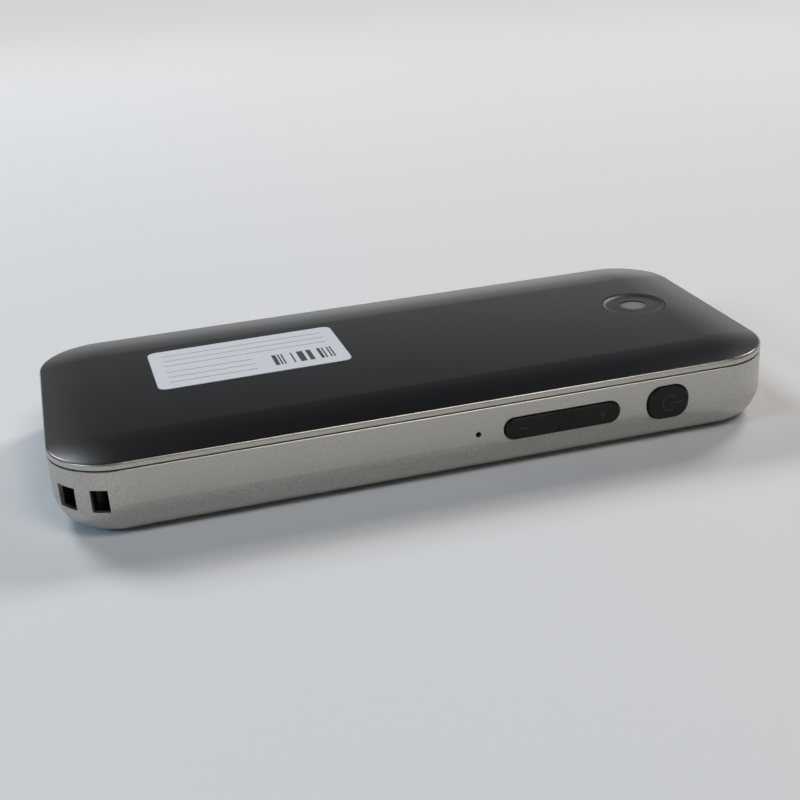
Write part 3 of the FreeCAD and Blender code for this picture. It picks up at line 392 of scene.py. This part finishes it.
def labelFilm():  # blank ruled form with a generic block of bars
    look = labelLook
    shader = Shader("labelFilm", {"Coat Weight": look["coat"], "Coat Roughness": look["coatRoughness"]})
    local = shader.add("ShaderNodeMapping", {"vector_type": "TEXTURE"},
                       {"Vector": shader.place, "Location": look["centre"], "Rotation": (0, 0, look["turn"])})
    along, across = shader.axis(local, "X"), shader.axis(local, "Y")

    def between(value, low, high):
        return shader.maths("GREATER_THAN", value, low) * shader.maths("LESS_THAN", value, high)

    column = shader.maths("FLOOR", along / look["barPitch"])
    chance = shader.add("ShaderNodeTexWhiteNoise", {"noise_dimensions": "1D"}, {"W": column})
    bars = shader.maths("GREATER_THAN", chance, look["barChance"])
    bars = bars * between(along, look["barFrom"][0], look["barTo"][0])
    bars = bars * between(across, look["barFrom"][1], look["barTo"][1])
    rules = 0.0
    long, short = (look["ruleHeights"], look["ruleTo"]), (look["shortRuleHeights"], look["shortRuleTo"])
    for levels, end in (long, short):
        reach = between(along, look["ruleFrom"], end)
        for level in levels:
            rules = rules + reach * between(across, level - look["ruleHalf"], level + look["ruleHalf"])
    fibre = shader.noise(look["fibreSize"], 3.0)
    paper = shader.blend(fibre, shade(dimmed(look["paper"], look["paperDark"])), shade(look["paper"]))
    colour = shader.blend(rules, paper, shade(look["softInk"]))
    colour = shader.blend(bars, colour, shade(look["ink"]))
    rough = look["roughness"] + fibre * look["roughSpread"]
    normal = shader.bump(fibre, look["fibreDepth"], look["fibreStrength"])
    return shader.use(Base_Color=colour, Roughness=rough, Normal=normal)


glassLook = {
    "display": (0.016, 0.018, 0.022),
    "border": (0.004, 0.004, 0.005),
    "displayHalf": (44.4 * mm, 21.7 * mm),
    "displayFade": 0.2 * mm,
    "smearSize": 14 * mm,
    "roughness": 0.05,
    "roughSpread": 0.06,
    "coatRoughness": 0.02,
    "ior": 1.5,
}


def frontGlass():  # black border round a dark display area
    look = glassLook
    shader = Shader("frontGlass", {"Coat Weight": 1.0, "Coat Roughness": look["coatRoughness"],
                                   "IOR": look["ior"]})
    active = 1.0
    for letter, half in zip("XY", look["displayHalf"]):
        far = shader.maths("ABSOLUTE", shader.axis(shader.place, letter))
        active = active * shader.step(far, half + look["displayFade"], half)
    colour = shader.blend(active, shade(look["border"]), shade(look["display"]))
    rough = look["roughness"] + shader.noise(look["smearSize"], 3.0) * look["roughSpread"]
    return shader.use(Base_Color=colour, Roughness=rough)


cameraPlace = (49.95 * mm, 3.3 * mm)  # axis of the lens, window and ring

lensLook = {
    # painted reflection: the lighter pinkish middle of the black glass stands for light reflected in it
    "middle": (0.21, 0.18, 0.19),
    "rim": (0.1, 0.085, 0.095),
    "rimReach": (1.3 * mm, 2.3 * mm),
    "smearSize": 1.2 * mm,
    "roughness": 0.08,
    "roughSpread": 0.05,
    "coatRoughness": 0.03,
    "ior": 1.6,
    "tint": (1.0, 0.86, 0.93),
}


def lensGlass():
    look = lensLook
    shader = Shader("lensGlass", {"Coat Weight": 1.0, "Coat Roughness": look["coatRoughness"],
                                  "IOR": look["ior"], "Specular Tint": shade(look["tint"])})
    rim = shader.step(shader.fromAxis(*cameraPlace), *look["rimReach"])
    # painted reflection: the middle is coloured lighter than the rim
    colour = shader.blend(rim, shade(look["middle"]), shade(look["rim"]))
    rough = look["roughness"] + shader.noise(look["smearSize"]) * look["roughSpread"]
    return shader.use(Base_Color=colour, Roughness=rough)


ringLook = {
    "metallic": 0.75,
    "colour": (0.055, 0.055, 0.058),
    "darkest": 0.75,
    "grainSize": 0.2 * mm,
    "turnPitch": 0.09 * mm,
    "roughness": 0.38,
    "roughSpread": 0.1,
    "bumpDepth": 0.004 * mm,
    "bumpStrength": 0.5,
}


def cameraRingMetal():  # satin paint over fine turned circles
    look = ringLook
    shader = Shader("cameraRingMetal", {"Metallic": look["metallic"]})
    circles = shader.maths("PINGPONG", shader.fromAxis(*cameraPlace), look["turnPitch"]) / look["turnPitch"]
    fine = shader.noise(look["grainSize"])
    colour = shader.blend(fine, shade(dimmed(look["colour"], look["darkest"])), shade(look["colour"]))
    return shader.use(Base_Color=colour, Roughness=look["roughness"] + circles * look["roughSpread"],
                      Normal=shader.bump(circles, look["bumpDepth"], look["bumpStrength"]))


finishes = {
    "coverMetal": coverMetal(),
    "frameMetal": frameMetal(),
    "labelFilm": labelFilm(),
    "frontGlass": frontGlass(),
    "lensGlass": lensGlass(),
    "cameraRingMetal": cameraRingMetal(),
    "buttonPlastic": mouldedPlastic("buttonPlastic", (0.009, 0.009, 0.0085), 0.42, gloss=0.25),
    "markPaint": mouldedPlastic("markPaint", (0.022, 0.022, 0.023), 0.3, gloss=0.4),
    "blackPlastic": mouldedPlastic("blackPlastic", (0.025, 0.025, 0.026), 0.5),
    "adhesiveFoam": mouldedPlastic("adhesiveFoam", (0.02, 0.02, 0.02), 0.85, grainSize=0.25 * mm,
                                   grainDepth=0.03 * mm),
    "chipPlastic": mouldedPlastic("chipPlastic", (0.02, 0.02, 0.022), 0.55),
    "displayBack": mouldedPlastic("displayBack", (0.12, 0.12, 0.13), 0.35),
    "stampedSteel": sheetMetal("stampedSteel", (0.52, 0.52, 0.53), 0.38),
    "tinnedSteel": sheetMetal("tinnedSteel", (0.66, 0.66, 0.65), 0.3),
    "socketSteel": sheetMetal("socketSteel", (0.62, 0.62, 0.62), 0.22, stretch=(14.0, 1.0, 1.0)),
    "screwSteel": sheetMetal("screwSteel", (0.3, 0.3, 0.31), 0.35),
    "meshSteel": sheetMetal("meshSteel", (0.1, 0.1, 0.1), 0.5),
    "boardLaminate": boardLaminate(),
    "amberFilm": amberFilm(),
    "batteryFoil": batteryFoil(),
}

wearing = {
    "coverMetal": ["back_cover"],
    "frameMetal": ["mid_frame"],
    "labelFilm": ["rating_label"],
    "frontGlass": ["cover_glass"],
    "lensGlass": ["camera_window", "camera_lens"],
    "cameraRingMetal": ["camera_ring"],
    "buttonPlastic": ["volume_rocker", "power_button"],
    "blackPlastic": ["usb_tongue", "loudspeaker", "battery_plug", "camera_module", "volume_up_plunger",
                     "volume_down_plunger", "power_plunger"],
    "adhesiveFoam": ["glass_gasket", "battery_tape", "camera_foam", "mic_boot"],
    "chipPlastic": ["application_processor", "memory_chip", "power_chip"],
    "displayBack": ["display_panel"],
    "stampedSteel": ["inner_chassis", "side_key_bracket"],
    "tinnedSteel": ["shield_can", "radio_module", "side_microphone", "bottom_microphone", "volume_up_switch",
                    "volume_down_switch", "power_switch"],
    "socketSteel": ["usb_shell"],
    "screwSteel": ["board_screws"],
    "meshSteel": ["speaker_mesh"],
    "boardLaminate": ["main_board", "sub_board"],
    "amberFilm": ["display_flex", "board_link_flex", "side_key_flex", "antenna_flex"],
    "batteryFoil": ["battery_pack"],
}

for finish, names in wearing.items():
    for name in names:
        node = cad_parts[name]
        node.data.materials.clear()
        node.data.materials.append(finishes[finish])
print("finishes on the frame:", sum(len(names) for names in wearing.values()), "nodes")


# Marks on the buttons

markLook = {
    "face": cadBox[0][1],
    "height": 7.9 * mm,
    "stand": 0.05 * mm,
    "sink": 0.06 * mm,
    "line": 0.3 * mm,
    "edge": 0.03 * mm,
    "minusAlong": 14.4 * mm,
    "plusAlong": 28.8 * mm,
    "reach": 0.75 * mm,
    "powerAlong": 41.6 * mm,
    "ringRadius": 1.4 * mm,
    "ringGap": 70.0,  # degrees left open for the stroke
    "ringSteps": 40,
    "strokeReach": 2.2 * mm,
}


def boxAt(shape, centre, size):
    place = Matrix.Translation(centre) @ Matrix.Diagonal((*size, 1.0))
    return bmesh.ops.create_cube(shape, size=1.0, matrix=place)["verts"]


def markDepth(look):  # thickness of a mark, and the level of its middle
    return look["stand"] + look["sink"], look["face"] + (look["sink"] - look["stand"]) / 2


def markPiece(name, shape, body):
    bmesh.ops.remove_doubles(shape, verts=shape.verts, dist=0.001 * mm)
    bmesh.ops.recalc_face_normals(shape, faces=shape.faces)
    mesh = bpy.data.meshes.new(name)
    shape.to_mesh(mesh)
    shape.free()
    mark = bpy.data.objects.new(name, mesh)
    bpy.context.scene.collection.objects.link(mark)
    mark.data.materials.append(finishes["markPaint"])
    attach(mark, body)


def softenFront(shape, look):  # rounds the edges of the face that stands out
    front = [edge for edge in shape.edges if all(vertex.co.y < look["face"] for vertex in edge.verts)]
    bmesh.ops.bevel(shape, geom=front, offset=look["edge"], segments=2, profile=0.5, affect="EDGES",
                    material=-1)


def makeMinus(look):
    shape = bmesh.new()
    deep, middle = markDepth(look)
    boxAt(shape, (look["minusAlong"], middle, look["height"]), (look["reach"] * 2, deep, look["line"]))
    softenFront(shape, look)
    markPiece("minus_mark", shape, "volume_rocker")


def makePlus(look):  # a small block with an arm grown out of each side
    shape = bmesh.new()
    deep, middle = markDepth(look)
    boxAt(shape, (look["plusAlong"], middle, look["height"]), (look["line"], deep, look["line"]))
    shape.normal_update()
    sides = [face for face in shape.faces if abs(face.normal.y) < 0.5]
    for face in bmesh.ops.extrude_discrete_faces(shape, faces=sides)["faces"]:
        face.normal_update()
        bmesh.ops.translate(shape, verts=face.verts, vec=face.normal * (look["reach"] - look["line"] / 2))
    softenFront(shape, look)
    markPiece("plus_mark", shape, "volume_rocker")


def makePowerSign(look):  # an open ring and a stroke through its gap
    shape = bmesh.new()
    deep, middle = markDepth(look)
    centre = Vector((look["powerAlong"], middle, look["height"]))
    place = Matrix.Translation(centre + Vector((look["ringRadius"], 0, 0)))
    place = place @ Matrix.Diagonal((look["line"], deep, 1.0, 1.0))
    made = bmesh.ops.create_grid(shape, x_segments=1, y_segments=1, size=0.5, matrix=place)
    bmesh.ops.rotate(shape, verts=made["verts"], cent=centre,
                     matrix=Matrix.Rotation(math.radians(look["ringGap"] / 2), 3, "Y"))
    section = shape.faces[:] + shape.edges[:] + shape.verts[:]
    bmesh.ops.spin(shape, geom=section, cent=centre, axis=(0, 1, 0),
                   angle=math.radians(360 - look["ringGap"]), steps=look["ringSteps"])
    strokeMiddle = centre + Vector(((look["strokeReach"] + look["line"]) / 2, 0, 0))
    boxAt(shape, strokeMiddle, (look["strokeReach"], deep, look["line"]))
    markPiece("power_mark", shape, "power_button")


makeMinus(markLook)
makePlus(markLook)
makePowerSign(markLook)
print("marks on the buttons: 3 pieces")


# Camera, lights and floor

cameraView = {
    "place": (-55.584 * mm, -215.184 * mm, 99.92 * mm),
    "azimuth": -14.59,
    "elevation": 23.38,
    "roll": -3.52,
    "lens": 57.45,
    "sensor": 36.0,
    "nearest": 10 * mm,
}


def makeCamera(view):
    azimuth, elevation, roll = (math.radians(view[key]) for key in ("azimuth", "elevation", "roll"))
    back = Vector((math.sin(azimuth) * math.cos(elevation), -math.cos(azimuth) * math.cos(elevation),
                   math.sin(elevation)))
    right = Vector((math.cos(azimuth), math.sin(azimuth), 0))
    up = back.cross(right)
    turnedRight = right * math.cos(roll) + up * math.sin(roll)
    turnedUp = up * math.cos(roll) - right * math.sin(roll)
    data = bpy.data.cameras.new("viewCamera")
    data.lens, data.sensor_width, data.clip_start = view["lens"], view["sensor"], view["nearest"]
    camera = bpy.data.objects.new("viewCamera", data)
    axes = Matrix((turnedRight, turnedUp, back)).transposed().to_4x4()
    camera.matrix_world = Matrix.Translation(Vector(view["place"])) @ axes
    bpy.context.scene.collection.objects.link(camera)
    bpy.context.scene.camera = camera


makeCamera(cameraView)

studio = {
    "floorColour": (0.78, 0.78, 0.79),
    "floorDark": 0.985,  # share of the floor colour
    "floorGrain": 1.5 * mm,
    "floorRoughness": 0.9,
    "floorSize": 12.0,
    "floorFar": (0.66, 0.66, 0.665),
    "floorFade": (0.35, 0.85),  # metres from the middle
    "skyHorizon": (0.7, 0.7, 0.71),
    "horizonHeights": (0.03, 0.12),
    "skyBehind": (0.95, 0.95, 0.96),
    "skyFront": (0.1, 0.105, 0.115),
    "skyHigh": (0.03, 0.032, 0.037),
    "skyHeights": (0.12, 0.44),
    "skyLean": (0.6, 0.77),  # the pale side lies towards +X and +Y
    "skyDepths": (0.4, 1.0),
    "lamps": [  # name, place, target, size, watts, colour
        ("keyLamp", (0.3, -0.6, 1.0), (0.0, 0.0, 0.0), 0.5, 3.6, (1.0, 0.93, 0.84)),
        ("leftLamp", (-0.75, -0.25, 0.45), (-0.05, 0.0, 0.0), 0.2, 1.8, (0.5, 0.76, 1.0)),
        ("backLeftLamp", (-0.4, 0.85, 0.75), (0.0, 0.0, 0.0), 0.4, 6.5, (0.93, 0.97, 1.0)),
        ("backRightLamp", (0.85, 0.6, 0.8), (0.0, 0.0, 0.0), 0.4, 6.2, (1.0, 0.97, 0.93)),
    ],
}


def makeFloor(setting):
    shader = Shader("floorPaper", {"Roughness": setting["floorRoughness"]})
    grain = shader.noise(setting["floorGrain"], 3.0)
    pale = setting["floorColour"]
    colour = shader.blend(grain, shade(dimmed(pale, setting["floorDark"])), shade(pale))
    mesh = bpy.data.meshes.new("floor")
    plane = bmesh.new()
    bmesh.ops.create_grid(plane, x_segments=1, y_segments=1, size=setting["floorSize"] / 2)
    plane.to_mesh(mesh)
    plane.free()
    floor = bpy.data.objects.new("floor", mesh)
    bpy.context.scene.collection.objects.link(floor)
    floor.data.materials.append(shader.use(Base_Color=colour))
    seen = 0.0
    for ray in ("Is Camera Ray", "Is Glossy Ray", "Is Transmission Ray"):
        seen = seen + shader.add("ShaderNodeLightPath", output=ray)
    far = shader.step(shader.fromAxis(), *setting["floorFade"]) * shader.maths("MINIMUM", seen, 1.0)
    glow = shader.add("ShaderNodeEmission", inputs={"Color": shade(setting["floorFar"]), "Strength": 1.0})
    paper = Wire(shader, shader.surface.outputs[0])
    mixed = shader.add("ShaderNodeMixShader", inputs={0: far, 1: paper, 2: glow})
    shader.feed(shader.nodes["Material Output"].inputs["Surface"], mixed)


def makeLamp(name, place, target, size, watts, colour):
    data = bpy.data.lights.new(name, "AREA")
    data.shape, data.size, data.energy, data.color = "DISK", size, watts, colour
    lamp = bpy.data.objects.new(name, data)
    lamp.location = place
    lamp.rotation_euler = (Vector(place) - Vector(target)).to_track_quat("Z", "Y").to_euler()
    bpy.context.scene.collection.objects.link(lamp)


class Sky(Shader):  # the world's node tree, built as a material's is
    def __init__(self, name):
        self.world = bpy.data.worlds.new(name)
        self.world.use_nodes = True
        self.nodes, self.links = self.world.node_tree.nodes, self.world.node_tree.links
        self.place = self.add("ShaderNodeTexCoord", output="Generated")


def makeSky(setting):  # pale along the horizon and behind the object, dimmer in front and overhead
    sky = Sky("studioSky")
    leanX, leanY = setting["skyLean"]
    depth = sky.axis(sky.place, "X") * leanX + sky.axis(sky.place, "Y") * leanY
    behind = sky.step(depth, *setting["skyDepths"])
    height = sky.axis(sky.place, "Z")
    overhead = sky.step(height, *setting["skyHeights"])
    horizon = sky.blend(behind, shade(setting["skyFront"]), shade(setting["skyBehind"]))
    studioLight = sky.blend(overhead, horizon, shade(setting["skyHigh"]))
    above = sky.step(height, *setting["horizonHeights"])
    colour = sky.blend(above, shade(setting["skyHorizon"]), studioLight)
    sky.feed(sky.nodes["Background"].inputs["Color"], colour)
    bpy.context.scene.world = sky.world


makeFloor(studio)
for lamp in studio["lamps"]:
    makeLamp(*lamp)
makeSky(studio)
bpy.context.scene.view_settings.view_transform = "Standard"
print("studio ready")
